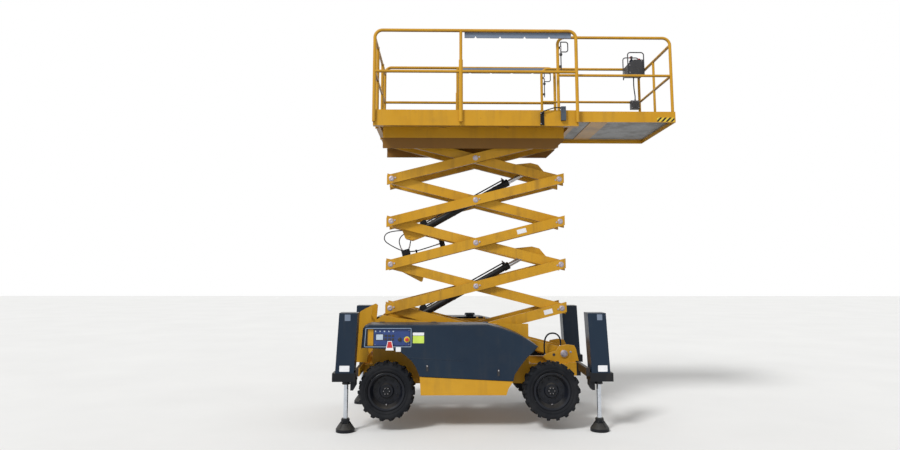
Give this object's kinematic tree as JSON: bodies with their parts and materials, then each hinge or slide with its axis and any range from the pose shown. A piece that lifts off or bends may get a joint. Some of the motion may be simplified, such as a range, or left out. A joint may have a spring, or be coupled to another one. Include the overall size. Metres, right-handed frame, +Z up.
{
  "type": "scissor lift",
  "caption": "Self-propelled scissor lift: wheeled chassis on jack legs, folding arm stack with two lift cylinders, and a railed platform with a sliding deck extension.",
  "frame": {"origin": "centre of the bounding box in plan, on the ground the jack feet stand on", "axes": "+X toward the steered end and the deck extension, +Y to the far side, +Z up"},
  "size_m": [4.2033, 1.898, 4.958],
  "materials": {
    "yellow_paint": "glossy, faded",
    "slate_paint": "satin",
    "grey_paint": "satin",
    "black_paint": "satin",
    "cast_block": "matt",
    "chrome_rod": "polished",
    "tyre_rubber": "matt",
    "rim_paint": "satin",
    "panel_plastic": "matt",
    "bar_paint": "satin",
    "hose_rubber": "matt"
  },
  "bodies": {
    "chassis": {"chassis_frame": "yellow_paint", "axle_beams": "black_paint", "side_boxes": "yellow_paint", "inner_panels": "yellow_paint", "engine_block": "cast_block", "rear_ladder": "yellow_paint", "outrigger_bases": "black_paint", "outrigger_covers": "slate_paint", "hose_ring": "hose_rubber"},
    "hood_near": {"hood_near": "slate_paint", "ground_panel": "panel_plastic"},
    "hood_far": {"hood_far": "slate_paint"},
    "wheel_rear_near": {"tyre_rear_near": "tyre_rubber", "rim_rear_near": "rim_paint"},
    "leg_rear_near": {"leg_rear_near": "chrome_rod", "foot_rear_near": "black_paint"},
    "wheel_rear_far": {"tyre_rear_far": "tyre_rubber", "rim_rear_far": "rim_paint"},
    "leg_rear_far": {"leg_rear_far": "chrome_rod", "foot_rear_far": "black_paint"},
    "wheel_front_near": {"tyre_front_near": "tyre_rubber", "rim_front_near": "rim_paint"},
    "leg_front_near": {"leg_front_near": "chrome_rod", "foot_front_near": "black_paint"},
    "wheel_front_far": {"tyre_front_far": "tyre_rubber", "rim_front_far": "rim_paint"},
    "leg_front_far": {"leg_front_far": "chrome_rod", "foot_front_far": "black_paint"},
    "steering_near": {"knuckle_near": "black_paint"},
    "steering_far": {"knuckle_far": "black_paint"},
    "inner_1": {"inner_arms_1": "yellow_paint"},
    "outer_1": {"outer_arms_1": "yellow_paint"},
    "inner_2": {"inner_arms_2": "yellow_paint"},
    "outer_2": {"outer_arms_2": "yellow_paint"},
    "inner_3": {"inner_arms_3": "yellow_paint"},
    "outer_3": {"outer_arms_3": "yellow_paint", "hoses": "hose_rubber", "hose_fittings": "black_paint"},
    "inner_4": {"inner_arms_4": "yellow_paint"},
    "outer_4": {"outer_arms_4": "yellow_paint"},
    "inner_5": {"inner_arms_5": "yellow_paint"},
    "outer_5": {"outer_arms_5": "yellow_paint"},
    "platform": {"platform_deck": "yellow_paint", "main_rails": "yellow_paint", "slide_bars": "bar_paint", "side_clips": "panel_plastic"},
    "extension": {"extension_deck": "yellow_paint", "extension_floor": "grey_paint", "extension_rails": "yellow_paint", "lock_handles": "chrome_rod", "control_box": "panel_plastic", "control_guard": "chrome_rod", "socket_box": "panel_plastic"},
    "gate": {"gate": "yellow_paint"},
    "barrel_lower": {"barrel_lower": "black_paint"},
    "piston_lower": {"rod_lower": "chrome_rod"},
    "barrel_upper": {"barrel_upper": "black_paint"},
    "piston_upper": {"rod_upper": "chrome_rod"}
  },
  "joints": [
    {"name": "wheel_rear_near_spin", "type": "hinge", "parent": "chassis", "child": "wheel_rear_near", "pos_m": [-1.48325, -0.77, 0.448], "axis": [0, 1, 0], "continuous": true},
    {"name": "leg_rear_near_slide", "type": "slide", "parent": "chassis", "child": "leg_rear_near", "axis": [0, 0, 1], "range_m": [0, 0.33]},
    {"name": "wheel_rear_far_spin", "type": "hinge", "parent": "chassis", "child": "wheel_rear_far", "pos_m": [-1.48325, 0.77, 0.448], "axis": [0, 1, 0], "continuous": true},
    {"name": "leg_rear_far_slide", "type": "slide", "parent": "chassis", "child": "leg_rear_far", "axis": [0, 0, 1], "range_m": [0, 0.33]},
    {"name": "wheel_front_near_spin", "type": "hinge", "parent": "steering_near", "child": "wheel_front_near", "pos_m": [0.452, -0.77, 0.448], "axis": [0, 1, 0], "continuous": true},
    {"name": "leg_front_near_slide", "type": "slide", "parent": "chassis", "child": "leg_front_near", "axis": [0, 0, 1], "range_m": [0, 0.33]},
    {"name": "wheel_front_far_spin", "type": "hinge", "parent": "steering_far", "child": "wheel_front_far", "pos_m": [0.452, 0.77, 0.448], "axis": [0, 1, 0], "continuous": true},
    {"name": "leg_front_far_slide", "type": "slide", "parent": "chassis", "child": "leg_front_far", "axis": [0, 0, 1], "range_m": [0, 0.33]},
    {"name": "steer_near", "type": "hinge", "parent": "chassis", "child": "steering_near", "pos_m": [0.452, -0.64, 0.448], "axis": [0, 0, 1], "range_deg": [-28, 28]},
    {"name": "steer_far", "type": "hinge", "parent": "chassis", "child": "steering_far", "pos_m": [0.452, 0.64, 0.448], "axis": [0, 0, 1], "range_deg": [-28, 28]},
    {"name": "hood_near_hinge", "type": "hinge", "parent": "chassis", "child": "hood_near", "pos_m": [0, -0.482, 1.206], "axis": [1, 0, 0], "range_deg": [-70, 0]},
    {"name": "hood_far_hinge", "type": "hinge", "parent": "chassis", "child": "hood_far", "pos_m": [0, 0.482, 1.206], "axis": [1, 0, 0], "range_deg": [0, 70]},
    {"name": "lift", "type": "hinge", "parent": "chassis", "child": "inner_1", "pos_m": [0.688, 0, 0.82], "axis": [0, 1, 0], "range_deg": [-10.6, 41.5]},
    {"name": "fold_mid_1", "type": "hinge", "parent": "inner_1", "child": "outer_1", "pos_m": [-0.40263, 0, 1.09597], "axis": [0, 1, 0], "range_deg": [-83.1, 21.3]},
    {"name": "fold_right_2", "type": "hinge", "parent": "outer_1", "child": "inner_2", "pos_m": [0.688, 0, 1.37194], "axis": [0, 1, 0], "range_deg": [-21.3, 83.1]},
    {"name": "fold_mid_2", "type": "hinge", "parent": "inner_2", "child": "outer_2", "pos_m": [-0.40263, 0, 1.64791], "axis": [0, 1, 0], "range_deg": [-83.1, 21.3]},
    {"name": "fold_right_3", "type": "hinge", "parent": "outer_2", "child": "inner_3", "pos_m": [0.688, 0, 1.92388], "axis": [0, 1, 0], "range_deg": [-21.3, 83.1]},
    {"name": "fold_mid_3", "type": "hinge", "parent": "inner_3", "child": "outer_3", "pos_m": [-0.40263, 0, 2.19985], "axis": [0, 1, 0], "range_deg": [-83.1, 21.3]},
    {"name": "fold_right_4", "type": "hinge", "parent": "outer_3", "child": "inner_4", "pos_m": [0.688, 0, 2.47582], "axis": [0, 1, 0], "range_deg": [-21.3, 83.1]},
    {"name": "fold_mid_4", "type": "hinge", "parent": "inner_4", "child": "outer_4", "pos_m": [-0.40263, 0, 2.7518], "axis": [0, 1, 0], "range_deg": [-83.1, 21.3]},
    {"name": "fold_right_5", "type": "hinge", "parent": "outer_4", "child": "inner_5", "pos_m": [0.688, 0, 3.02777], "axis": [0, 1, 0], "range_deg": [-21.3, 83.1]},
    {"name": "fold_mid_5", "type": "hinge", "parent": "inner_5", "child": "outer_5", "pos_m": [-0.40263, 0, 3.30374], "axis": [0, 1, 0], "range_deg": [-83.1, 21.3]},
    {"name": "platform_level", "type": "hinge", "parent": "outer_5", "child": "platform", "pos_m": [0.688, 0, 3.57971], "axis": [0, 1, 0], "range_deg": [-10.7, 41.6]},
    {"name": "extension_slide", "type": "slide", "parent": "platform", "child": "extension", "axis": [1, 0, 0], "range_m": [-1.2, 0]},
    {"name": "gate_hinge", "type": "hinge", "parent": "platform", "child": "gate", "pos_m": [-1.68825, -0.331, 4.3], "axis": [0, 0, 1], "range_deg": [-88, 0]},
    {"name": "cylinder_lower_pivot", "type": "hinge", "parent": "inner_1", "child": "barrel_lower", "pos_m": [-1.26337, 0, 1.18793], "axis": [0, 1, 0], "range_deg": [-83.1, 21.3]},
    {"name": "cylinder_lower_slide", "type": "slide", "parent": "barrel_lower", "child": "piston_lower", "axis": [0.8739, 0, 0.4861], "range_m": [-0.21376, 0.83396]},
    {"name": "cylinder_upper_pivot", "type": "hinge", "parent": "inner_3", "child": "barrel_upper", "pos_m": [-1.26337, 0, 2.29181], "axis": [0, 1, 0], "range_deg": [-83.1, 21.3]},
    {"name": "cylinder_upper_slide", "type": "slide", "parent": "barrel_upper", "child": "piston_upper", "axis": [0.8739, 0, 0.4861], "range_m": [-0.21376, 0.83396]}
  ],
  "couplings": [
    {"joint": "steer_far", "follows": "steer_near", "ratio": 1},
    {"joint": "fold_mid_1", "follows": "lift", "ratio": -2},
    {"joint": "fold_right_2", "follows": "lift", "ratio": 2},
    {"joint": "fold_mid_2", "follows": "lift", "ratio": -2},
    {"joint": "fold_right_3", "follows": "lift", "ratio": 2},
    {"joint": "fold_mid_3", "follows": "lift", "ratio": -2},
    {"joint": "fold_right_4", "follows": "lift", "ratio": 2},
    {"joint": "fold_mid_4", "follows": "lift", "ratio": -2},
    {"joint": "fold_right_5", "follows": "lift", "ratio": 2},
    {"joint": "fold_mid_5", "follows": "lift", "ratio": -2},
    {"joint": "platform_level", "follows": "lift", "ratio": 1},
    {"joint": "cylinder_lower_pivot", "follows": "lift", "ratio": -2},
    {"joint": "cylinder_lower_slide", "follows": "lift", "m_per_rad": 1.15},
    {"joint": "cylinder_upper_pivot", "follows": "lift", "ratio": -2},
    {"joint": "cylinder_upper_slide", "follows": "lift", "m_per_rad": 1.15}
  ]
}
